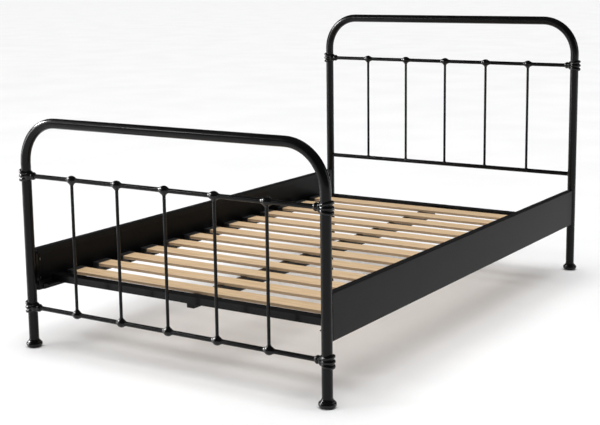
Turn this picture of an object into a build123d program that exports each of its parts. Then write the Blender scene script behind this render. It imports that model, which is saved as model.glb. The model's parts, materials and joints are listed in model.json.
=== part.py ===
import os

from build123d import *

# A metal bed frame for a 1200 x 2000 mm mattress: two bent tube ends with cast
# collars and knuckles, folded steel side rails, and a slatted base between them.
# X runs across the bed, Y from the footboard to the headboard, Z up.
# The origin is on the floor under the middle of the bed. Sizes are in millimetres.

# Plan of the bed
post_spacing = 1235
end_spacing = 2050
side = post_spacing / 2
end = end_spacing / 2

# Bent tube ends
post_radius = 17.5
tube_wall = 1.5
bend_radius = 145
post_bottom = 6
headboard_top = 1092
footboard_top = 814

# Rails and spindles of the two ends
rail_radius = 8
lower_rail_radius = 9
headboard_rail = 901
headboard_low = 427
footboard_rail = 623
footboard_low = 147
spindle_radius = 5.5
spindle_pitch = 202
spindle_count = 5

# Cast knuckles where a spindle meets a rail
knuckle_length = 38
knuckle_radius = 15.5
neck_length = 17.5
neck_radius = 11.5
neck_tip_radius = 6.5

# Cast collars that tie a rail to a post; their rings spread apart towards the outside
ring_pitch = 12
ring_radius = 17
ring_thickness = 6.7
ring_shift = 3.5
ring_tilt = 15
sleeve_radius = 20
sleeve_height = 34
boss_length = 41
boss_root_radius = 19
boss_root_length = 18
boss_neck_place = 29
boss_neck_radius = 12
boss_tip_radius = 10.5
bead_radius = 6
bead_inset = 7.5
bead_offset = 8.2

# Feet
glide_thickness = 2
glide_radius = 15.5
glide_chamfer = 0.6
foot_base_radius = 19
foot_belly = (26.9, 5.9)
foot_radius = 29
foot_rim_height = 12
foot_brow = (27.8, 17)
foot_shoulder = (24.4, 20.6)
foot_hollow = (21, 23.2)
foot_neck_radius = 19
foot_height = 28

# Folded side rails, which stop just short of the posts
rail_bottom = 205
rail_height = 152
rail_width = 28
rail_sheet = 2
rail_end_gap = 2
rail_fold_radius = 3
upper_lip = 20
lower_lip = 32
rail_inside = side - post_radius
rail_place = rail_inside + rail_width / 2
rail_middle = rail_bottom + rail_height / 2
rail_end = end - post_radius - rail_end_gap

# Brackets on the posts, which reach into the ends of the side rails, and their bolts
bracket_width = 20
bracket_height = 115
bracket_reach = 10
bracket_back_edge = 8
plate_end = end - post_radius - bracket_reach
end_plate = 3
bolt_radius = 4
bolt_clearance = 0.5
bolt_rise = 34
bolt_flange_radius = 8.5
bolt_flange = 1.5
bolt_head_radius = 6.5
bolt_head = 6

# Ledges, cross rails and centre beam
ledge_leg = 22
ledge_reach = 33
ledge_sheet = 3
ledge_length = 1970
ledge_top = rail_bottom + ledge_leg
cross_rail_place = 923
cross_rail_width = 40
cross_rail_height = 25
cross_rail_middle = ledge_top + cross_rail_height / 2
box_wall = 2
beam_width = 30
beam_height = 40
hanger_sheet = 3
hanger_foot = 36
hanger_top_gap = 3
small_bolt_radius = 3
small_bolt_head_radius = 6
small_bolt_head = 3.5
small_bolt_chamfer = 1.2
small_bolt_tip = 2
insert_radius = 4.5
insert_length = 12
ledge_bolt_place = rail_inside - 18
ledge_bolt_spread = 10

# Slats and the plastic holders on their ends
slat_count = 13
slat_pitch = 138
slat_width = 70
slat_thickness = 12
slat_edge_radius = 3
slat_end_gap = 2
holder_wall = 1.5
holder_corner = 4
holder_length = 30
holder_reach = rail_inside - 4
holder_height = cross_rail_height
slat_bottom = ledge_top + holder_height - holder_wall - slat_thickness
slat_length = 2 * (holder_reach - slat_end_gap)
peg_radius = 4
peg_length = 6
peg_place = holder_reach - holder_length / 2

# Centre leg
leg_radius = 15
leg_bottom = 8
leg_plate = 3
leg_plate_length = 56
leg_plate_corner = 4
leg_foot_radius = 22
leg_foot_edge = 2
leg_foot_rim = 10
leg_foot_height = 30
leg_foot_wall = 2.5
screw_radius = 2.5
screw_head_radius = 4
screw_head = 2.5
screw_tip = 4
beam_bottom = slat_bottom - beam_height
leg_top = beam_bottom - leg_plate
screw_places = [(x, y) for x in (-10, 10) for y in (-20, 20)]

os.makedirs("parts", exist_ok=True)

spindle_places = [(i - (spindle_count - 1) / 2) * spindle_pitch for i in range(spindle_count)]
slat_places = [(i - (slat_count - 1) / 2) * slat_pitch for i in range(slat_count)]
sides = {"left": -1, "right": 1}

# Where the small bolts stand: two at each end of each cross rail, and one on each hanger
small_bolt_places = [
    (x, y + shift)
    for y in (-cross_rail_place, cross_rail_place)
    for x, shift in (
        (-ledge_bolt_place, -ledge_bolt_spread), (-ledge_bolt_place, ledge_bolt_spread),
        (ledge_bolt_place, -ledge_bolt_spread), (ledge_bolt_place, ledge_bolt_spread), (0, 0),
    )
]


def save(builder, label):
    builder.part.label = label
    export_step(builder.part, f"parts/{label}.step")


def hoop(label, y, top):
    """One length of round tube, bent at both top corners, that makes two posts and the top."""
    with BuildPart() as tube:
        with BuildLine(Plane.XZ.offset(-y)) as path:
            FilletPolyline(
                (-side, post_bottom), (-side, top), (side, top), (side, post_bottom),
                radius=bend_radius,
            )
        with BuildSketch(Plane(origin=(-side, y, post_bottom))):
            Circle(post_radius)
            Circle(post_radius - tube_wall, mode=Mode.SUBTRACT)
        sweep(path=path.line)
    save(tube, label)


def end_rail(label, y, height, radius):
    """A thin tube between the posts, its ends coped to fit round them."""
    with BuildPart() as tube:
        with BuildSketch(Plane(origin=(-side, y, height), x_dir=(0, 1, 0), z_dir=(1, 0, 0))):
            Circle(radius)
            Circle(radius - tube_wall, mode=Mode.SUBTRACT)
        extrude(amount=post_spacing)
        with Locations((-side, y, height), (side, y, height)):
            Cylinder(post_radius, 4 * radius, mode=Mode.SUBTRACT)
    save(tube, label)


def spindle(label, x, y, low, high, low_radius):
    """A round rod, its ends coped to the rails below and above it."""
    with BuildPart() as rod:
        with BuildSketch(Plane(origin=(x, y, low))):
            Circle(spindle_radius)
        extrude(amount=high - low)
        for height, radius in ((low, low_radius), (high, rail_radius)):
            with Locations((x, y, height)):
                Cylinder(radius, 4 * spindle_radius, rotation=(0, 90, 0), mode=Mode.SUBTRACT)
    save(rod, label)


def knuckles(label, y, height, direction):
    """Oval beads round a rail, each with a short neck towards its spindle."""
    radii = (neck_radius, neck_tip_radius) if direction > 0 else (neck_tip_radius, neck_radius)
    with BuildPart() as beads:
        for x in spindle_places:
            with BuildSketch(Plane(origin=(x, y, height), x_dir=(1, 0, 0), z_dir=(0, -1, 0))):
                Ellipse(knuckle_length / 2, knuckle_radius)
                with Locations((0, -knuckle_radius)):
                    Rectangle(2 * knuckle_length, 2 * knuckle_radius, mode=Mode.SUBTRACT)
            revolve(axis=Axis((x, y, height), (1, 0, 0)))
            with Locations((x, y, height + direction * neck_length / 2)):
                Cone(radii[0], radii[1], neck_length)
        for x in spindle_places:
            with Locations((x, y, height)):
                Cylinder(rail_radius, 2 * knuckle_length, rotation=(0, 90, 0), mode=Mode.SUBTRACT)
            with Locations((x, y, height + direction * neck_length)):
                Cylinder(spindle_radius, 2 * neck_length, mode=Mode.SUBTRACT)
    save(beads, label)


def collar(label, outward, y, height):
    """Three cast rings round a post, spread on the outside, and a boss that holds a rail's end."""
    x = outward * side
    with BuildPart() as casting:
        with Locations((x + outward * ring_shift / 2, y, height)):
            Cylinder(sleeve_radius, sleeve_height)
        for step in (-1, 0, 1):
            with Locations((x + outward * ring_shift, y, height + step * ring_pitch)):
                Torus(ring_radius, ring_thickness, rotation=(0, -outward * step * ring_tilt, 0))
        along_rail = Plane(origin=(x, y, height), x_dir=(-outward, 0, 0), z_dir=(0, outward, 0))
        with BuildSketch(along_rail):
            with BuildLine():
                Polyline(
                    (boss_root_length, boss_root_radius), (0, boss_root_radius), (0, 0),
                    (boss_length, 0), (boss_length, boss_tip_radius), (boss_neck_place, boss_neck_radius),
                )
                TangentArc(
                    (boss_neck_place, boss_neck_radius), (boss_root_length, boss_root_radius),
                    tangent=(boss_neck_place - boss_length, boss_neck_radius - boss_tip_radius),
                )
            make_face()
            with Locations((boss_length - bead_inset, bead_offset)):
                Circle(bead_radius)
        revolve(axis=Axis((x, y, height), (1, 0, 0)))
        with Locations((x, y, height)):
            Cylinder(post_radius, 3 * sleeve_height, mode=Mode.SUBTRACT)
        with Locations((x - outward * boss_length, y, height)):
            Cylinder(rail_radius, 2 * boss_length, rotation=(0, 90, 0), mode=Mode.SUBTRACT)
    save(casting, label)


def foot_cap(label, x, y):
    """A bowl-shaped foot that the post stands in."""
    with BuildPart() as cap:
        with BuildSketch(Plane(origin=(x, y, 0), x_dir=(1, 0, 0), z_dir=(0, -1, 0))):
            with BuildLine():
                ThreePointArc((foot_base_radius, glide_thickness), foot_belly, (foot_radius, foot_rim_height))
                ThreePointArc((foot_radius, foot_rim_height), foot_brow, foot_shoulder)
                ThreePointArc(foot_shoulder, foot_hollow, (foot_neck_radius, foot_height))
                Polyline(
                    (foot_neck_radius, foot_height), (post_radius, foot_height), (post_radius, post_bottom),
                    (0, post_bottom), (0, glide_thickness), (foot_base_radius, glide_thickness),
                )
            make_face()
        revolve(axis=Axis((x, y, 0), (0, 0, 1)))
    save(cap, label)


def side_rail(label, outward):
    """A folded channel, closed towards the room, with lips that face the mattress."""
    opening = rail_height - upper_lip - lower_lip
    with BuildPart() as rail:
        with BuildSketch(Plane(origin=(outward * rail_place, -rail_end, 0), x_dir=(1, 0, 0), z_dir=(0, 1, 0))):
            with Locations((0, -rail_middle)):
                RectangleRounded(rail_width, rail_height, rail_fold_radius)
                Rectangle(rail_width - 2 * rail_sheet, rail_height - 2 * rail_sheet, mode=Mode.SUBTRACT)
            with Locations((-outward * rail_width / 2, -rail_bottom - lower_lip - opening / 2)):
                Rectangle(3 * rail_sheet, opening, mode=Mode.SUBTRACT)
        extrude(amount=2 * rail_end)
    save(rail, label)


def slat_ledge(label, outward):
    """An angle along the inside of a side rail, which carries the ends of the slats."""
    with BuildPart() as ledge:
        with Locations((outward * (rail_inside - ledge_sheet / 2), 0, rail_bottom + ledge_leg / 2)):
            Box(ledge_sheet, ledge_length, ledge_leg)
        with Locations((outward * (rail_inside - ledge_reach / 2), 0, ledge_top - ledge_sheet / 2)):
            Box(ledge_reach, ledge_length, ledge_sheet)
        with Locations([(x, y, ledge_top) for x, y in small_bolt_places if x * outward > 0]):
            Cylinder(small_bolt_radius, 4 * ledge_sheet, mode=Mode.SUBTRACT)
        with Locations([(outward * peg_place, y, ledge_top) for y in slat_places]):
            Cylinder(peg_radius, 4 * ledge_sheet, mode=Mode.SUBTRACT)
    save(ledge, label)


def cross_rail(label, y):
    """A box tube across the bed that stands on both ledges, level with the slats."""
    length = 2 * (rail_inside - ledge_sheet)
    with BuildPart() as tube:
        with Locations((0, y, cross_rail_middle)):
            Box(length, cross_rail_width, cross_rail_height)
            Box(length, cross_rail_width - 2 * box_wall, cross_rail_height - 2 * box_wall, mode=Mode.SUBTRACT)
        with Locations([(bx, by, ledge_top) for bx, by in small_bolt_places if by * y > 0]):
            Cylinder(insert_radius, 4 * box_wall, mode=Mode.SUBTRACT)
    save(tube, label)


# The two bent tube ends
hoop("headboard_hoop", end, headboard_top)
hoop("footboard_hoop", -end, footboard_top)
end_rail("headboard_upper_rail", end, headboard_rail, rail_radius)
end_rail("headboard_lower_rail", end, headboard_low, lower_rail_radius)
end_rail("footboard_upper_rail", -end, footboard_rail, rail_radius)
end_rail("footboard_lower_rail", -end, footboard_low, rail_radius)
for number, x in enumerate(spindle_places, start=1):
    spindle(f"headboard_spindle_{number}", x, end, headboard_low, headboard_rail, lower_rail_radius)
    spindle(f"footboard_spindle_{number}", x, -end, footboard_low, footboard_rail, rail_radius)
knuckles("headboard_knuckles", end, headboard_rail, -1)
knuckles("footboard_upper_knuckles", -end, footboard_rail, -1)
knuckles("footboard_lower_knuckles", -end, footboard_low, 1)
for name, outward in sides.items():
    collar(f"headboard_collar_{name}", outward, end, headboard_rail)
    collar(f"footboard_upper_collar_{name}", outward, -end, footboard_rail)
    collar(f"footboard_lower_collar_{name}", outward, -end, footboard_low)
    foot_cap(f"headboard_foot_{name}", outward * side, end)
    foot_cap(f"footboard_foot_{name}", outward * side, -end)
    side_rail(f"side_rail_{name}", outward)
    slat_ledge(f"slat_ledge_{name}", outward)

# Pads under the four feet
with BuildPart() as foot_glides:
    with Locations([(sx * side, sy * end, glide_thickness / 2) for sx in (-1, 1) for sy in (-1, 1)]):
        Cylinder(glide_radius, glide_thickness)
    chamfer(foot_glides.faces().filter_by(Axis.Z).group_by(Axis.Z)[0].edges(), glide_chamfer)
save(foot_glides, "foot_glides")

# Plates welded inside the side rails, a little in from their ends
bolt_heights = (rail_middle - bolt_rise, rail_middle + bolt_rise)
plate_height = rail_height - 2 * rail_sheet
with BuildPart() as rail_end_plates:
    with Locations([
        (sx * rail_place, sy * (plate_end - end_plate / 2), rail_middle) for sx in (-1, 1) for sy in (-1, 1)
    ]):
        Box(rail_width - 2 * rail_sheet, end_plate, plate_height)
    with Locations([(sx * rail_place, 0, height) for sx in (-1, 1) for height in bolt_heights]):
        Cylinder(bolt_radius + bolt_clearance, end_spacing, rotation=(90, 0, 0), mode=Mode.SUBTRACT)
save(rail_end_plates, "rail_end_plates")

# Brackets welded to the posts, shaped to the tube, with two threaded holes each
bracket_depth = post_radius + bracket_reach - bracket_back_edge
with BuildPart() as rail_brackets:
    with Locations([
        (sx * rail_place, sy * (plate_end + bracket_depth / 2), rail_middle) for sx in (-1, 1) for sy in (-1, 1)
    ]):
        Box(bracket_width, bracket_depth, bracket_height)
    with Locations([(sx * side, sy * end, rail_middle) for sx in (-1, 1) for sy in (-1, 1)]):
        Cylinder(post_radius, 2 * bracket_height, mode=Mode.SUBTRACT)
    with Locations([(sx * rail_place, 0, height) for sx in (-1, 1) for height in bolt_heights]):
        Cylinder(bolt_radius, end_spacing, rotation=(90, 0, 0), mode=Mode.SUBTRACT)
save(rail_brackets, "rail_brackets")

# Flanged bolts through the end plates into the brackets
plate_face = plate_end - end_plate
with BuildPart() as rail_bolts:
    for sy in (-1, 1):
        for sx in (-1, 1):
            for height in bolt_heights:
                outwards = Plane(origin=(sx * rail_place, sy * plate_face, height), z_dir=(0, sy, 0))
                with BuildSketch(outwards):
                    Circle(bolt_radius)
                extrude(amount=end_plate + bracket_reach - bolt_clearance)
                with BuildSketch(outwards):
                    Circle(bolt_flange_radius)
                extrude(amount=-bolt_flange)
                with BuildSketch(outwards.offset(-bolt_flange)):
                    RegularPolygon(bolt_head_radius, 6, major_radius=False)
                extrude(amount=-bolt_head)
save(rail_bolts, "rail_bolts")

cross_rail("foot_cross_rail", -cross_rail_place)
cross_rail("head_cross_rail", cross_rail_place)

# A box tube under the middle of the slats
beam_end = cross_rail_place - cross_rail_width / 2 - hanger_sheet
with BuildPart() as centre_beam:
    with Locations((0, 0, slat_bottom - beam_height / 2)):
        Box(beam_width, 2 * beam_end, beam_height)
        Box(beam_width - 2 * box_wall, 2 * beam_end, beam_height - 2 * box_wall, mode=Mode.SUBTRACT)
    with Locations([(x, y, beam_bottom) for x, y in screw_places]):
        Cylinder(screw_radius, 3 * box_wall, mode=Mode.SUBTRACT)
save(centre_beam, "centre_beam")

# Angles welded to the beam's ends, which reach under the cross rails
hanger_top = ledge_top + cross_rail_height - hanger_top_gap
with BuildPart() as beam_hangers:
    for sy in (-1, 1):
        with Locations((0, sy * (beam_end + hanger_sheet / 2), (beam_bottom + hanger_top) / 2)):
            Box(beam_width, hanger_sheet, hanger_top - beam_bottom)
        with Locations((0, sy * (beam_end + hanger_foot / 2), ledge_top - hanger_sheet / 2)):
            Box(beam_width, hanger_foot, hanger_sheet)
        with Locations((0, sy * cross_rail_place, ledge_top)):
            Cylinder(small_bolt_radius, 4 * hanger_sheet, mode=Mode.SUBTRACT)
save(beam_hangers, "beam_hangers")

# Small bolts up through the ledges and hangers, into threaded inserts in the cross rails
bolt_seat = ledge_top - ledge_sheet
with BuildPart() as frame_bolts:
    with BuildSketch(Plane.XY.offset(bolt_seat)):
        with Locations(small_bolt_places):
            Circle(small_bolt_head_radius)
    extrude(amount=-small_bolt_head)
    chamfer(frame_bolts.faces().sort_by(Axis.Z)[:len(small_bolt_places)].edges(), small_bolt_chamfer)
    with BuildSketch(Plane.XY.offset(bolt_seat)):
        with Locations(small_bolt_places):
            Circle(small_bolt_radius)
    extrude(amount=ledge_sheet + insert_length + small_bolt_tip)
save(frame_bolts, "frame_bolts")
with BuildPart() as threaded_inserts:
    with BuildSketch(Plane.XY.offset(ledge_top)):
        with Locations(small_bolt_places):
            Circle(insert_radius)
            Circle(small_bolt_radius, mode=Mode.SUBTRACT)
    extrude(amount=insert_length)
save(threaded_inserts, "threaded_inserts")

# The centre leg: a tube with a welded top plate, its plastic foot and its screws
with BuildPart() as centre_leg:
    with BuildSketch(Plane.XY.offset(leg_bottom)):
        Circle(leg_radius)
        Circle(leg_radius - tube_wall, mode=Mode.SUBTRACT)
    extrude(amount=leg_top - leg_bottom)
    with BuildSketch(Plane.XY.offset(leg_top)):
        RectangleRounded(beam_width, leg_plate_length, leg_plate_corner)
    extrude(amount=leg_plate)
    with Locations([(x, y, leg_top) for x, y in screw_places]):
        Cylinder(screw_radius, 4 * leg_plate, mode=Mode.SUBTRACT)
save(centre_leg, "centre_leg")
with BuildPart() as centre_leg_foot:
    with BuildSketch(Plane.XZ):
        with BuildLine():
            Polyline(
                (0, 0), (leg_foot_radius - leg_foot_edge, 0), (leg_foot_radius, leg_foot_edge),
                (leg_foot_radius, leg_foot_rim), (leg_radius + leg_foot_wall, leg_foot_height),
                (leg_radius, leg_foot_height), (leg_radius, leg_bottom), (0, leg_bottom), (0, 0),
            )
        make_face()
    revolve(axis=Axis.Z)
save(centre_leg_foot, "centre_leg_foot")
with BuildPart() as centre_leg_screws:
    with Locations([(x, y, leg_top - screw_head / 2) for x, y in screw_places]):
        Cylinder(screw_head_radius, screw_head)
    with Locations([(x, y, leg_top + (leg_plate + screw_tip) / 2) for x, y in screw_places]):
        Cylinder(screw_radius, leg_plate + screw_tip)
save(centre_leg_screws, "centre_leg_screws")

# Wooden slats
for number, y in enumerate(slat_places, start=1):
    with BuildPart() as slat:
        with BuildSketch(Plane.YZ.offset(-slat_length / 2)):
            with Locations((y, slat_bottom + slat_thickness / 2)):
                RectangleRounded(slat_width, slat_thickness, slat_edge_radius)
        extrude(amount=slat_length)
    save(slat, f"slat_{number:02d}")

# Plastic holders: a pocket for the slat's end, on a block pegged to the ledge
with BuildPart() as slat_holders:
    for y in slat_places:
        for outward in (-1, 1):
            peg_point = (outward * peg_place, y)
            with BuildSketch(Plane.XY.offset(ledge_top)):
                with Locations(peg_point):
                    RectangleRounded(holder_length, slat_width + 4 * holder_wall, holder_corner)
            extrude(amount=holder_height)
            with BuildSketch(Plane.XY.offset(ledge_top)):
                with Locations(peg_point):
                    Circle(peg_radius)
            extrude(amount=-peg_length)
            inwards = Plane(
                origin=(outward * slat_length / 2, y, slat_bottom + slat_thickness / 2),
                x_dir=(0, 1, 0), z_dir=(-outward, 0, 0),
            )
            with BuildSketch(inwards):
                RectangleRounded(slat_width, slat_thickness, slat_edge_radius)
            extrude(amount=holder_length, mode=Mode.SUBTRACT)
save(slat_holders, "slat_holders")
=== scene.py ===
import json
from math import pi, radians, sin, sqrt

import bmesh
import bpy
from mathutils import Matrix, Vector
from mathutils.geometry import interpolate_bezier


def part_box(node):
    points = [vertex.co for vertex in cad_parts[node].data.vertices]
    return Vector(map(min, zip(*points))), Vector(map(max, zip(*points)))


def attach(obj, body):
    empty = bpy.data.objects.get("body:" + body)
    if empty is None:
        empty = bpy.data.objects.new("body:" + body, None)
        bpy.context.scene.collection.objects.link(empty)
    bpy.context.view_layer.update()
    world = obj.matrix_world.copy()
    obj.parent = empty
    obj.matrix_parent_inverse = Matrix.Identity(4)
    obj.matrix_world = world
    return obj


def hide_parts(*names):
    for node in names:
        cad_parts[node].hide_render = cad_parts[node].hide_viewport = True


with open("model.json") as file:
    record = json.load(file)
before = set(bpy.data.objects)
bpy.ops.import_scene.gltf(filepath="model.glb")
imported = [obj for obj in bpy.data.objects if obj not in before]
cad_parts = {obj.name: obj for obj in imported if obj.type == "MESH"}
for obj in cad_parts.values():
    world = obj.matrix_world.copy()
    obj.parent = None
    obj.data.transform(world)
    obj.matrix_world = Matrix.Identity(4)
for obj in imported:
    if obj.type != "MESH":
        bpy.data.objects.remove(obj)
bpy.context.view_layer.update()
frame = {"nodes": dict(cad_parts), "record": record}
nodes = frame["nodes"]
print("frame loaded:", len(nodes), "nodes")


# Places read from the frame, in metres
def middle(node):
    low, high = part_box(node)
    return (low + high) / 2


def sizeOf(node):
    low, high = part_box(node)
    return high - low


postSide = middle("footboard_foot_right").x
endPlane = middle("headboard_foot_right").y
postRadius = sizeOf("headboard_hoop").y / 2
railRadius = sizeOf("headboard_upper_rail").y / 2
lowRailRadius = sizeOf("headboard_lower_rail").y / 2
rodRadius = sizeOf("headboard_spindle_1").y / 2
rodPlaces = [middle(f"headboard_spindle_{i}").x for i in range(1, 6)]
headRail = middle("headboard_upper_rail").z
headLowRail = middle("headboard_lower_rail").z
footRail = middle("footboard_upper_rail").z
footLowRail = middle("footboard_lower_rail").z
bothSides = (("left", -1), ("right", 1))


# Shader maths: a wire is a socket that Python's operators can add nodes to
class Wire:
    def __init__(self, look, socket):
        self.look = look
        self.socket = socket

    def calc(self, operation, first, second=0.0):
        return self.look.node("ShaderNodeMath", {"operation": operation}, {0: first, 1: second})

    def __add__(self, other):
        return self.calc("ADD", self, other)

    def __radd__(self, other):
        return self.calc("ADD", other, self)

    def __sub__(self, other):
        return self.calc("SUBTRACT", self, other)

    def __mul__(self, other):
        return self.calc("MULTIPLY", self, other)

    def __abs__(self):
        return self.calc("ABSOLUTE", self)

    def sine(self):
        return self.calc("SINE", self)

    def ramp(self, low, high, toLow=0.0, toHigh=1.0):
        values = {0: self, 1: low, 2: high, 3: toLow, 4: toHigh}
        return self.look.node("ShaderNodeMapRange", {"interpolation_type": "SMOOTHSTEP"}, values)


# A look is one material, with its Principled shader
class Look:
    def __init__(self, name, **constants):
        self.material = bpy.data.materials.new(name)
        self.material.use_nodes = True
        self.tree = self.material.node_tree
        self.shader = self.tree.nodes["Principled BSDF"]
        self.feed(**constants)

    def node(self, kind, settings=None, inputs=None, output=0):
        made = self.tree.nodes.new(kind)
        for key, value in (settings or {}).items():
            setattr(made, key, value)
        for key, value in (inputs or {}).items():
            self.join(made.inputs[key], value)
        return Wire(self, made.outputs[output])

    def join(self, socket, value):
        if isinstance(value, Wire):
            self.tree.links.new(value.socket, socket)
        else:
            socket.default_value = value

    def feed(self, **values):
        for key, value in values.items():
            self.join(self.shader.inputs[key.replace("_", " ")], value)

    def place(self):
        return self.node("ShaderNodeTexCoord", output="Object")

    def stretched(self, scale):
        return self.node("ShaderNodeMapping", {}, {"Vector": self.place(), "Scale": scale})

    def noise(self, vector, scale, detail=2.0, roughness=0.5):
        values = {"Vector": vector, "Scale": scale, "Detail": detail, "Roughness": roughness}
        return self.node("ShaderNodeTexNoise", {}, values)

    def axes(self, vector):
        return [self.node("ShaderNodeSeparateXYZ", {}, {0: vector}, output=i) for i in range(3)]

    def facing(self):
        return self.axes(self.node("ShaderNodeNewGeometry", output="Normal"))

    def blend(self, factor, first, second):
        values = {"Factor": factor, 6: first, 7: second}
        return self.node("ShaderNodeMix", {"data_type": "RGBA"}, values, output=2)

    def bump(self, height, distance, strength=1.0):
        values = {"Height": height, "Distance": distance, "Strength": strength}
        return self.node("ShaderNodeBump", {}, values)


def grey(value, tint=(1.0, 1.0, 1.0)):
    return (value * tint[0], value * tint[1], value * tint[2], 1.0)


# Powder coat: a faint orange-peel skin over the steel, with a little dust where it faces up
glossCoat = {
    "base": 0.0022, "worn": 0.0040, "dust": 0.045, "dustAmount": 0.04, "rough": 0.24, "patchy": 0.05,
    "peelScale": 420, "peelDepth": 0.000022, "coat": 0.08, "specular": 0.14, "parting": 0.0,
}
castCoat = {
    "base": 0.0022, "worn": 0.0040, "dust": 0.045, "dustAmount": 0.04, "rough": 0.18, "patchy": 0.06,
    "peelScale": 300, "peelDepth": 0.000040, "coat": 0.25, "specular": 0.16, "parting": 0.00022,
}
satinCoat = {
    "base": 0.0060, "worn": 0.0080, "dust": 0.060, "dustAmount": 0.06, "rough": 0.40, "patchy": 0.05,
    "peelScale": 520, "peelDepth": 0.000022, "coat": 0.0, "specular": 0.10, "parting": 0.0,
}
coatTints = {"worn": (1.0, 1.0, 1.03), "dust": (1.0, 0.98, 0.95)}


def powderCoat(name, values):
    look = Look(name, Coat_Weight=values["coat"], Coat_Roughness=0.12, Specular_IOR_Level=values["specular"])
    place = look.place()
    cloud = look.noise(place, 9, 3)
    fine = look.noise(place, 85, 2)
    upward = look.facing()[2].ramp(0.6, 1.0)
    dust = upward * look.noise(place, 40, 4, 0.6).ramp(0.40, 0.75) * values["dustAmount"]
    tone = look.blend(cloud.ramp(0.35, 0.68), grey(values["base"]), grey(values["worn"], coatTints["worn"]))
    peel = look.noise(place, values["peelScale"], 1.5, 0.4)
    swell = look.noise(place, values["peelScale"] / 6, 1)
    normal = look.bump(peel * 0.7 + swell * 0.3, values["peelDepth"])
    if values["parting"]:
        # The fine ridge that the two halves of the mould leave, in the plane of each bed end
        offPlane = abs(abs(look.axes(place)[1]) - endPlane)
        ridge = offPlane.ramp(0.0008, 0.0002)
        normal = look.node("ShaderNodeBump", {},
                           {"Height": ridge, "Distance": values["parting"], "Normal": normal})
    look.feed(Base_Color=look.blend(dust, tone, grey(values["dust"], coatTints["dust"])),
              Roughness=values["rough"] + (cloud - 0.5) * values["patchy"] + (fine - 0.5) * 0.04 + dust * 0.4,
              Normal=normal)
    return look.material


# Birch plywood: long grain on the faces, stacked plies on the edges
birch = {
    "pale": (0.66, 0.49, 0.31, 1), "deep": (0.50, 0.34, 0.19, 1), "dark": (0.30, 0.18, 0.09, 1),
    "warm": (0.60, 0.42, 0.25, 1), "plies": 7, "thickness": sizeOf("slat_01").z,
    "bottom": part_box("slat_01")[0].z, "pitch": middle("slat_02").y - middle("slat_01").y,
}


def birchPly(name):
    look = Look(name, IOR=1.45)
    place = look.place()
    slatNumber = look.axes(place)[1] * (1 / birch["pitch"])
    perSlat = look.node("ShaderNodeTexWhiteNoise", {"noise_dimensions": "1D"},
                        {"W": slatNumber.calc("ROUND", slatNumber)}, output=0)
    shifted = look.node("ShaderNodeVectorMath", {"operation": "ADD"},
                        {0: look.stretched((2.2, 34, 60)), 1: (7, 3, 1)})
    figure = look.noise(shifted, 3.0, 5, 0.62)
    pores = look.noise(look.stretched((26, 900, 900)), 1.0, 2, 0.6)
    flecks = pores.ramp(0.60, 0.74)
    height = (look.axes(place)[2] - birch["bottom"]) * (birch["plies"] * pi / birch["thickness"])
    plies = height.sine().ramp(-0.35, 0.35)
    onEdge = abs(look.facing()[2]).ramp(0.75, 0.25)
    face = look.blend(figure.ramp(0.32, 0.70), birch["pale"], birch["deep"])
    face = look.blend(flecks * 0.5, face, birch["dark"])
    edge = look.blend(plies, birch["dark"], birch["deep"])
    wood = look.blend(onEdge * 0.85, face, edge)
    wood = look.blend(perSlat * 0.30, wood, birch["warm"])
    look.feed(Base_Color=wood, Roughness=0.48 + (figure - 0.5) * 0.14 + flecks * 0.12,
              Normal=look.bump(pores * 0.5 + plies * onEdge * 0.6 + figure * 0.3, 0.00012))
    return look.material


# Bright zinc on the fasteners: a cloudy plated skin over fine turning marks
def zincPlate(name):
    look = Look(name, Metallic=1.0)
    place = look.place()
    cloud = look.noise(place, 180, 3)
    turned = look.noise(look.stretched((1, 1, 12)), 420, 2)
    tint = look.blend(cloud.ramp(0.35, 0.7), (0.60, 0.61, 0.64, 1), (0.50, 0.51, 0.50, 1))
    look.feed(Base_Color=tint, Roughness=0.30 + (cloud - 0.5) * 0.25, Normal=look.bump(turned, 0.00003))
    return look.material


# Moulded plastic: a spark-eroded grain with a slight bloom
def mouldedPlastic(name):
    look = Look(name, IOR=1.48)
    place = look.place()
    grain = look.noise(place, 900, 2, 0.7)
    bloom = look.noise(place, 40, 3)
    tint = look.blend(bloom.ramp(0.4, 0.75), grey(0.018), grey(0.032))
    look.feed(Base_Color=tint, Roughness=0.52 + (bloom - 0.5) * 0.2, Normal=look.bump(grain, 0.00008))
    return look.material


# The studio floor: pale, with the faintest mottling
def paleFloor(name):
    look = Look(name)
    cloud = look.noise(look.place(), 1.5, 3)
    tint = look.blend(cloud.ramp(0.3, 0.7), (0.86, 0.86, 0.865, 1), (0.89, 0.89, 0.89, 1))
    look.feed(Base_Color=tint, Roughness=0.6 + (cloud - 0.5) * 0.1)
    return look.material


looks = {
    "gloss": powderCoat("glossBlackCoat", glossCoat),
    "cast": powderCoat("castBlackCoat", castCoat),
    "satin": powderCoat("satinBlackCoat", satinCoat),
    "birch": birchPly("birchPly"),
    "zinc": zincPlate("zincPlate"),
    "plastic": mouldedPlastic("mouldedPlastic"),
}
lookOfSlot = {
    "gloss_black_coat": "gloss", "satin_black_coat": "satin", "slat_wood": "birch",
    "zinc_plate": "zinc", "black_plastic": "plastic",
}
slotOfLook = {look: slotName for slotName, look in lookOfSlot.items()}
slotOfLook["cast"] = "gloss_black_coat"
for entry in frame["record"]["subparts"]:
    for slot in nodes[entry["node"]].material_slots:
        slot.material = looks[lookOfSlot[entry["material_slot"]]]
print("materials given to the CAD nodes")


# Mesh helpers. Every piece is made in metres, and its object stays at the origin.
def newVerts(work, known):
    return [vert for vert in work.verts if vert not in known]


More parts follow.
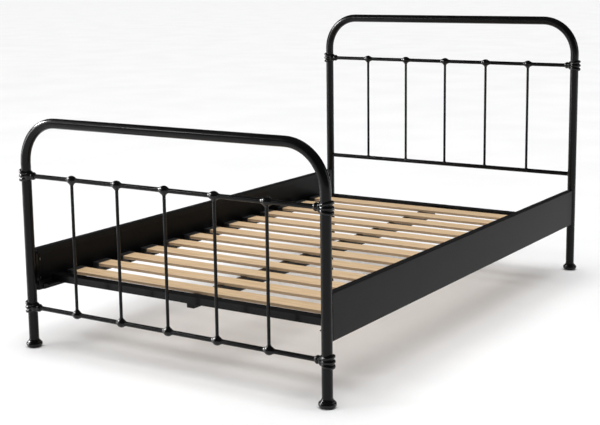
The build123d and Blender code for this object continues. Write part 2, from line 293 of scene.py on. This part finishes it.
def hoopRing(work, radius, thickness, place, steps=56, around=20):
    known = set(work.verts)
    upright = Matrix.Translation((radius, 0, 0)) @ Matrix.Rotation(pi / 2, 4, "X")
    circle = bmesh.ops.create_circle(work, segments=around, radius=thickness, matrix=upright)["verts"]
    edges = list({edge for vert in circle for edge in vert.link_edges})
    bmesh.ops.spin(work, geom=circle + edges, axis=(0, 0, 1), angle=2 * pi, steps=steps, use_merge=True)
    made = newVerts(work, known)
    bmesh.ops.transform(work, matrix=place, verts=made)
    return made


def lathe(work, outline, place=Matrix(), steps=64):
    known = set(work.verts)
    start = [work.verts.new((radius, 0, height)) for radius, height in outline]
    edges = [work.edges.new(pair) for pair in zip(start, start[1:])]
    bmesh.ops.spin(work, geom=start + edges, axis=(0, 0, 1), angle=2 * pi, steps=steps, use_merge=True)
    bmesh.ops.remove_doubles(work, verts=newVerts(work, known), dist=0.000002)
    made = newVerts(work, known)
    bmesh.ops.transform(work, matrix=place, verts=made)
    return made


def curve(*points, steps=8):
    corners = [Vector((x, 0, z)) for x, z in points]
    return [(point.x, point.z) for point in interpolate_bezier(*corners, steps)]


def linked(mesh, name):
    piece = bpy.data.objects.new(name, mesh)
    bpy.context.scene.collection.objects.link(piece)
    return piece


def meshOf(work, name):
    bmesh.ops.recalc_face_normals(work, faces=work.faces)
    mesh = bpy.data.meshes.new(name)
    work.to_mesh(mesh)
    work.free()
    return mesh


def evaluated(piece):
    depsgraph = bpy.context.evaluated_depsgraph_get()
    mesh = bpy.data.meshes.new_from_object(piece.evaluated_get(depsgraph))
    bpy.data.objects.remove(piece)
    return mesh


def finished(mesh, name, look, instead=(), sharpAngle=40):
    mesh.materials.clear()
    mesh.materials.append(looks[look])
    mesh.shade_smooth()
    mesh.set_sharp_from_angle(angle=radians(sharpAngle))
    piece = linked(mesh, name)
    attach(piece, "root")
    if instead:
        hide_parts(*instead)
    return piece


# A casting: overlapping shapes run together with soft roots, then bored for its tube and rod
casting = {"smoothing": 0.5, "boreSegments": 72}


def castingOf(work, name, voxel, softening, bores):
    shape = linked(meshOf(work, name), name)
    remesh = shape.modifiers.new("together", "REMESH")
    remesh.mode = "VOXEL"
    remesh.voxel_size = voxel
    soften = shape.modifiers.new("soften", "SMOOTH")
    soften.factor = casting["smoothing"]
    soften.iterations = softening
    shape = linked(evaluated(shape), name)
    drill = bmesh.new()
    for radius, length, place in bores:
        bmesh.ops.create_cone(drill, cap_ends=True, segments=casting["boreSegments"], radius1=radius,
                              radius2=radius, depth=length, matrix=place)
    drill = linked(meshOf(drill, "drill"), "drill")
    cut = shape.modifiers.new("bore", "BOOLEAN")
    cut.operation = "DIFFERENCE"
    cut.object = drill
    cut.use_self = len(bores) > 1
    made = evaluated(shape)
    bpy.data.objects.remove(drill)
    return made


def copiesOf(mesh, name, places):
    work = bmesh.new()
    for place in places:
        known = set(work.verts)
        knownFaces = set(work.faces)
        work.from_mesh(mesh)
        bmesh.ops.transform(work, matrix=place, verts=newVerts(work, known))
        if place.determinant() < 0:
            bmesh.ops.reverse_faces(work, faces=[face for face in work.faces if face not in knownFaces])
    made = bpy.data.meshes.new(name)
    work.to_mesh(made)
    work.free()
    return made


turnX = Matrix.Rotation(pi / 2, 4, "Y")
mirrorX = Matrix.Diagonal((-1, 1, 1, 1))
mirrorZ = Matrix.Diagonal((1, 1, -1, 1))

# Collars: three rings that spread apart on the outside, run together into a beaded boss
collar = {
    "ringRadius": 0.0170, "ringThickness": 0.0066, "ringShift": 0.0036, "ringPitch": 0.0122, "ringTilt": 15,
    "sleeveRadius": 0.0196, "sleeveHeight": 0.034, "beadPlace": 0.0335, "beadOffset": 0.0084,
    "beadRadius": 0.0058, "bossTip": [(0, -0.041), (0.0100, -0.041), (0.0108, -0.0404)],
    "bossFlare": [(0.0118, -0.029), (0.0128, -0.025), (0.0165, -0.0225), (0.0188, -0.018)],
    "bossRoot": [(0.0190, 0), (0, 0)], "voxel": 0.0007, "softening": 4, "lap": 0.0001,
    "postBore": 0.2, "railBore": 0.1,
}


def collarMesh():
    work = bmesh.new()
    for step in (-1, 0, 1):
        place = Matrix.Translation((collar["ringShift"], 0, step * collar["ringPitch"]))
        hoopRing(work, collar["ringRadius"], collar["ringThickness"],
                 place @ Matrix.Rotation(radians(-step * collar["ringTilt"]), 4, "Y"))
    half = collar["sleeveHeight"] / 2
    lathe(work, [(0, -half), (collar["sleeveRadius"], -half), (collar["sleeveRadius"], half), (0, half)],
          Matrix.Translation((collar["ringShift"] / 2, 0, 0)))
    lathe(work, collar["bossTip"] + curve(*collar["bossFlare"]) + collar["bossRoot"], turnX)
    hoopRing(work, collar["beadOffset"], collar["beadRadius"],
             Matrix.Translation((-collar["beadPlace"], 0, 0)) @ turnX)
    alongRail = Matrix.Translation((-collar["railBore"] / 2, 0, 0)) @ turnX
    bores = [(postRadius - collar["lap"], collar["postBore"], Matrix()),
             (railRadius - collar["lap"], collar["railBore"], alongRail)]
    return castingOf(work, "collar", collar["voxel"], collar["softening"], bores)


def addCollars():
    shape = collarMesh()
    for end, y, height in (("headboard_collar", endPlane, headRail),
                           ("footboard_upper_collar", -endPlane, footRail),
                           ("footboard_lower_collar", -endPlane, footLowRail)):
        for sideName, outward in bothSides:
            place = Matrix.Translation((outward * postSide, y, height)) @ (Matrix() if outward > 0 else mirrorX)
            node = f"{end}_{sideName}"
            finished(copiesOf(shape, node, [place]), "cast_" + node, "cast", [node])


addCollars()
print("collars cast")

# Knuckles: an oval bead that fades into the rail, with a short flare towards the rod
knuckle = {
    "halfLength": 0.0180, "radius": 0.0153, "fadeRadius": 0.0088, "fade": 0.0188, "bodyRadius": 0.0105,
    "bodyHalf": 0.0130, "flare": [(0.0064, -0.0182), (0.0067, -0.0160), (0.0082, -0.0146), (0.0112, -0.0095)],
    "voxel": 0.0006, "softening": 4, "lap": 0.0001, "railBore": 0.1, "rodBore": 0.05,
}


def knuckleMesh():
    work = bmesh.new()
    oval = Matrix.Diagonal((knuckle["halfLength"], knuckle["radius"], knuckle["radius"], 1))
    bmesh.ops.create_uvsphere(work, u_segments=48, v_segments=32, radius=1, matrix=oval)
    fade, thin, body, half = (knuckle[key] for key in ("fade", "fadeRadius", "bodyRadius", "bodyHalf"))
    lathe(work, [(0, -fade), (thin, -fade), (body, -half), (body, half), (thin, fade), (0, fade)], turnX)
    flare = knuckle["flare"]
    lathe(work, [(0, flare[0][1])] + curve(*flare) + [(0, flare[-1][1])])
    alongRod = Matrix.Translation((0, 0, -knuckle["rodBore"] / 2))
    bores = [(railRadius - knuckle["lap"], knuckle["railBore"], turnX),
             (rodRadius - knuckle["lap"], knuckle["rodBore"], alongRod)]
    return castingOf(work, "knuckle", knuckle["voxel"], knuckle["softening"], bores)


def addKnuckles():
    shape = knuckleMesh()
    for node, y, height, flip in (("headboard_knuckles", endPlane, headRail, Matrix()),
                                  ("footboard_upper_knuckles", -endPlane, footRail, Matrix()),
                                  ("footboard_lower_knuckles", -endPlane, footLowRail, mirrorZ)):
        places = [Matrix.Translation((x, y, height)) @ flip for x in rodPlaces]
        finished(copiesOf(shape, node, places), "cast_" + node, "cast", [node])


addKnuckles()
print("knuckles cast")

# Feet: a bowl with a rolled rim and a groove, under a shoulder that closes on the post
foot = {
    "base": 0.002, "seat": 0.006, "height": sizeOf("footboard_foot_left").z + 0.002, "edge": 0.0003,
    "underside": 0.0165, "bowl": [(0.0185, 0.0020), (0.0245, 0.0024), (0.02898, 0.0060), (0.02898, 0.0115)],
    "rim": [(0.02898, 0.0115), (0.02898, 0.0155), (0.0274, 0.0178), (0.0256, 0.0176)],
    "groove": [(0.0256, 0.0176), (0.0247, 0.0174), (0.0244, 0.0184), (0.0244, 0.0193)],
    "shoulder": [(0.0244, 0.0193), (0.0240, 0.0222), (0.0206, 0.0226)],
    "lap": 0.0001, "steps": 96, "sharpAngle": 50,
}


def footMesh():
    top = foot["height"]
    neck = (0.0192, top - 0.0022)
    outline = [(0, foot["base"]), (foot["underside"], foot["base"])]
    outline += curve(*foot["bowl"], steps=14)
    outline += curve(*foot["rim"], steps=8)
    outline += curve(*foot["groove"], steps=5)
    outline += curve(*foot["shoulder"], neck, steps=10)
    outline += curve(neck, (0.0190, top - 0.0006), (0.0186, top), (0.0180, top), steps=6)
    bore = postRadius - foot["lap"]
    outline += [(bore, top - foot["edge"]), (bore, foot["seat"]), (0, foot["seat"])]
    work = bmesh.new()
    lathe(work, outline, steps=foot["steps"])
    return meshOf(work, "foot")


def addFeet():
    shape = footMesh()
    for end, y in (("headboard", endPlane), ("footboard", -endPlane)):
        for sideName, outward in bothSides:
            node = f"{end}_foot_{sideName}"
            place = Matrix.Translation((outward * postSide, y, 0))
            finished(copiesOf(shape, node, [place]), "cast_" + node, "cast", [node], foot["sharpAngle"])


addFeet()
print("feet cast")

# Weld beads: stacked ripples round a joint, laid on the round tube beneath
weld = {
    "thickness": 0.0021, "ripple": 0.00035, "ripplePitch": 0.0022, "stepsPerRipple": 4,
    "start": 0.35, "startLength": 0.003, "bracketWidth": 0.020,
}


def weldRing(work, radius, tubeRadius, place):
    made = hoopRing(work, radius, weld["thickness"], Matrix(), steps=96, around=10)
    ripples = round(2 * pi * radius / weld["ripplePitch"])
    for vert in made:
        turn = Vector((vert.co.x, vert.co.y)).angle_signed(Vector((1, 0)))
        middleOfBead = Vector((vert.co.x, vert.co.y, 0)).normalized() * radius
        swell = 1 + weld["ripple"] / weld["thickness"] * sin(turn * ripples)
        vert.co = middleOfBead + (vert.co - middleOfBead) * swell
        vert.co.z += sqrt(tubeRadius ** 2 - min(abs(vert.co.y), tubeRadius * 0.99) ** 2)
    bmesh.ops.transform(work, matrix=place, verts=made)


def weldLine(work, length, place):
    known = set(work.verts)
    circle = bmesh.ops.create_circle(work, cap_ends=True, segments=10, radius=weld["thickness"])
    face = circle["verts"][0].link_faces[0]
    steps = round(length / weld["ripplePitch"]) * weld["stepsPerRipple"]
    bmesh.ops.spin(work, geom=[face], axis=(0, 0, 1), dvec=(0, 0, length / steps), angle=0, steps=steps,
                   use_duplicate=True)
    made = newVerts(work, known)
    for vert in made:
        swell = 1 + weld["ripple"] / weld["thickness"] * sin(vert.co.z / weld["ripplePitch"] * 2 * pi)
        fade = min(1.0, weld["start"] + min(vert.co.z, length - vert.co.z) / weld["startLength"])
        vert.co.x *= swell * fade
        vert.co.y *= swell * fade
    bmesh.ops.transform(work, matrix=place, verts=made)


def addWelds():
    work = bmesh.new()
    for x in rodPlaces:
        weldRing(work, rodRadius, lowRailRadius, Matrix.Translation((x, endPlane, headLowRail)))
    for outward in (-1, 1):
        intoBed = Matrix(((0, 0, -outward, 0), (0, 1, 0, 0), (1, 0, 0, 0), (0, 0, 0, 1)))
        place = Matrix.Translation((outward * postSide, endPlane, headLowRail))
        weldRing(work, lowRailRadius, postRadius, place @ intoBed)
    finished(meshOf(work, "headboard_welds"), "headboard_welds", "cast")
    low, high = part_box("rail_brackets")
    work = bmesh.new()
    for xSide in (-1, 1):
        for ySide in (-1, 1):
            for edge in (high.x, high.x - weld["bracketWidth"]):
                reach = sqrt(postRadius ** 2 - (edge - postSide) ** 2)
                place = Matrix.Translation((xSide * edge, ySide * (endPlane - reach), low.z))
                weldLine(work, high.z - low.z, place)
    finished(meshOf(work, "bracket_welds"), "bracket_welds", "cast")


addWelds()
print("welds laid")

# Rail bolts: flanged hexagon heads with a rolled thread
bolt = {
    "radius": 0.0040, "core": 0.0035, "pitch": 0.00125, "length": 0.0125, "point": 0.0006,
    "flange": 0.0085, "flangeEdge": 0.0009, "flangeEase": 0.0003, "flangeHeight": 0.0019, "flangeTop": 0.0072,
    "acrossFlats": 0.013, "headHeight": 0.0078, "headSink": 0.0004, "chamfer": 0.0007,
    "crown": 0.0050, "crownRise": 0.00015, "crownSink": 0.0002, "plate": 0.003, "sharpAngle": 35,
}


def hexHead(work, acrossFlats, low, high, chamfer):
    known = set(work.verts)
    corner = acrossFlats / sqrt(3)
    bmesh.ops.create_cone(work, cap_ends=True, segments=6, radius1=corner, radius2=corner, depth=high - low,
                          matrix=Matrix.Translation((0, 0, (low + high) / 2)))
    edges = [edge for edge in work.edges if not known.intersection(edge.verts)]
    rim = [edge for edge in edges if all(vert.co.z > high - 1e-6 for vert in edge.verts)]
    sides = [edge for edge in edges if abs(edge.verts[0].co.z - edge.verts[1].co.z) > (high - low) / 2]
    bmesh.ops.bevel(work, geom=rim, offset=chamfer, affect="EDGES", segments=2, profile=0.5, material=-1)
    sides = [edge for edge in sides if edge.is_valid]
    bmesh.ops.bevel(work, geom=sides, offset=chamfer / 3, affect="EDGES", segments=2, profile=0.5, material=-1)


# One turn of the thread's outline, as shares of the pitch: the root, the flank, the crest and back
threadOutline = [("core", 0), ("core", 0.15), ("radius", 0.45), ("radius", 0.6), ("core", 0.9), ("core", 1)]


def thread(work, low, high, stepsPerTurn=20):
    known = set(work.verts)
    pitch, core = bolt["pitch"], bolt["core"]
    turns = int((high - low) / pitch) - 1
    start = [work.verts.new((bolt[key], 0, low + pitch * share)) for key, share in threadOutline]
    edges = [work.edges.new(pair) for pair in zip(start, start[1:])]
    bmesh.ops.spin(work, geom=start + edges, axis=(0, 0, 1), angle=2 * pi * turns, steps=turns * stepsPerTurn,
                   dvec=(0, 0, pitch / stepsPerTurn))
    bmesh.ops.remove_doubles(work, verts=newVerts(work, known), dist=0.00001)
    under, full = low - 0.001, core + 0.00002
    point = bolt["point"]
    lathe(work, [(0, under), (full, under), (full, high - point), (core - point, high), (0, high)], steps=24)


def boltMesh():
    work = bmesh.new()
    top, head, wide, ease = (bolt[key] for key in ("flangeHeight", "headHeight", "flange", "flangeEase"))
    lathe(work, [(0, 0), (wide - ease, 0), (wide, ease), (wide, bolt["flangeEdge"]), (bolt["flangeTop"], top),
                 (0, top)], steps=48)
    hexHead(work, bolt["acrossFlats"], top - bolt["headSink"], head, bolt["chamfer"])
    crown = head + bolt["crownRise"]
    lathe(work, [(0, head - bolt["crownSink"]), (bolt["crown"], crown), (0, crown)], steps=32)
    thread(work, -bolt["length"], 0.0)
    return meshOf(work, "bolt")


def addRailBolts():
    shape = boltMesh()
    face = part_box("rail_end_plates")[1].y - bolt["plate"]
    low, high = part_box("rail_bolts")
    across = high.x - bolt["flange"]
    centre = (low.z + high.z) / 2
    rise = (high.z - low.z) / 2 - bolt["flange"]
    places = []
    for xSide in (-1, 1):
        for ySide in (-1, 1):
            for up in (-1, 1):
                place = Matrix.Translation((xSide * across, ySide * face, centre + up * rise))
                places.append(place @ Matrix.Rotation(ySide * pi / 2, 4, "X"))
    mesh = copiesOf(shape, "rail_bolts", places)
    finished(mesh, "flanged_rail_bolts", "zinc", ["rail_bolts"], bolt["sharpAngle"])


addRailBolts()
print("rail bolts made")

# Folded and cut steel: copies of the flat pieces with their edges eased, as a thick coat leaves them
easedPieces = {
    "side_rail_left": ("satin", 0.0005), "side_rail_right": ("satin", 0.0005),
    "slat_ledge_left": ("gloss", 0.0004), "slat_ledge_right": ("gloss", 0.0004),
    "rail_end_plates": ("gloss", 0.0004), "rail_brackets": ("gloss", 0.0006),
    "foot_cross_rail": ("gloss", 0.0008), "head_cross_rail": ("gloss", 0.0008),
    "centre_beam": ("gloss", 0.0008), "beam_hangers": ("gloss", 0.0005), "slat_holders": ("plastic", 0.0006),
}
easing = {"sameVert": 0.00001, "flatAngle": 0.5, "sharpAngle": 25, "edgeAngle": 50, "segments": 2}


def easedCopy(node, look, width):
    work = bmesh.new()
    work.from_mesh(nodes[node].data)
    bmesh.ops.remove_doubles(work, verts=work.verts, dist=easing["sameVert"])
    bmesh.ops.dissolve_limit(work, angle_limit=radians(easing["flatAngle"]), verts=work.verts, edges=work.edges)
    mesh = bpy.data.meshes.new(node)
    work.to_mesh(mesh)
    work.free()
    piece = finished(mesh, "eased_" + node, look, [node], easing["sharpAngle"])
    ease = piece.modifiers.new("ease", "BEVEL")
    ease.width = width
    ease.segments = easing["segments"]
    ease.limit_method = "ANGLE"
    ease.angle_limit = radians(easing["edgeAngle"])
    ease.harden_normals = True


for node, settings in easedPieces.items():
    easedCopy(node, *settings)
print("flat steel eased")

# Camera, floor and lights
camera = {
    "place": (2.5364, -4.1324, 1.3283), "yaw": 32.882, "pitch": 9.480, "roll": -0.716, "lens": 74.76,
    "shift": -0.06,
}
floorSize = 90


def addCamera():
    data = bpy.data.cameras.new("camera")
    data.lens = camera["lens"]
    data.shift_y = camera["shift"]
    made = bpy.data.objects.new("camera", data)
    place = Matrix.Translation(camera["place"])
    for angle, axis in ((camera["yaw"], "Z"), (90 - camera["pitch"], "X"), (camera["roll"], "Z")):
        place = place @ Matrix.Rotation(radians(angle), 4, axis)
    made.matrix_world = place
    bpy.context.scene.collection.objects.link(made)
    bpy.context.scene.camera = made


def addFloor():
    work = bmesh.new()
    bmesh.ops.create_grid(work, x_segments=8, y_segments=8, size=floorSize)
    mesh = bpy.data.meshes.new("floor")
    work.to_mesh(mesh)
    work.free()
    floor = bpy.data.objects.new("floor", mesh)
    floor.data.materials.append(paleFloor("paleFloor"))
    bpy.context.scene.collection.objects.link(floor)


# The wide overhead light fills the floor; the panels are only seen in the gloss of the coats
lights = [
    {"name": "keySoftbox", "place": (-4.3, -5.4, 3.9), "aim": (0, -0.8, 0.5), "size": (0.7, 0.7),
     "power": 50, "diffuse": True},
    {"name": "sideSoftbox", "place": (-6.0, -1.6, 3.4), "aim": (0, -0.6, 0.5), "size": (1.4, 1.4),
     "power": 680, "diffuse": False},
    {"name": "leftPanel", "place": (-5.0, -3.2, 1.5), "aim": (0, -0.4, 0.8), "size": (0.8, 3.0),
     "power": 150, "diffuse": False},
    {"name": "rightPanel", "place": (4.6, 2.4, 1.6), "aim": (0, 0.2, 0.7), "size": (1.0, 3.0),
     "power": 40, "diffuse": False},
]
overhead = {"strength": 3.75, "spread": 70}
studio = {"backdrop": 1.0, "surround": 0.05}


def addLights():
    for light in lights:
        data = bpy.data.lights.new(light["name"], "AREA")
        data.shape = "RECTANGLE"
        data.size, data.size_y = light["size"]
        data.energy = light["power"]
        made = bpy.data.objects.new(light["name"], data)
        made.location = light["place"]
        aim = Vector(light["aim"]) - Vector(light["place"])
        made.rotation_euler = aim.to_track_quat("-Z", "Y").to_euler()
        made.visible_diffuse = light["diffuse"]
        bpy.context.scene.collection.objects.link(made)
    data = bpy.data.lights.new("overhead", "SUN")
    data.energy = overhead["strength"]
    data.angle = radians(overhead["spread"])
    made = bpy.data.objects.new("overhead", data)
    made.visible_glossy = False
    bpy.context.scene.collection.objects.link(made)


def addStudio():
    world = bpy.data.worlds.new("studio")
    world.use_nodes = True
    tree = world.node_tree
    seen = tree.nodes.new("ShaderNodeLightPath")
    strength = tree.nodes.new("ShaderNodeMix")
    strength.inputs["A"].default_value = studio["surround"]
    strength.inputs["B"].default_value = studio["backdrop"]
    tree.links.new(seen.outputs["Is Camera Ray"], strength.inputs["Factor"])
    tree.links.new(strength.outputs["Result"], tree.nodes["Background"].inputs["Strength"])
    tree.nodes["Background"].inputs["Color"].default_value = (1, 1, 1, 1)
    bpy.context.scene.world = world
    bpy.context.scene.view_settings.view_transform = "Standard"


addCamera()
addFloor()
addLights()
addStudio()
print("camera, floor and lights in place")
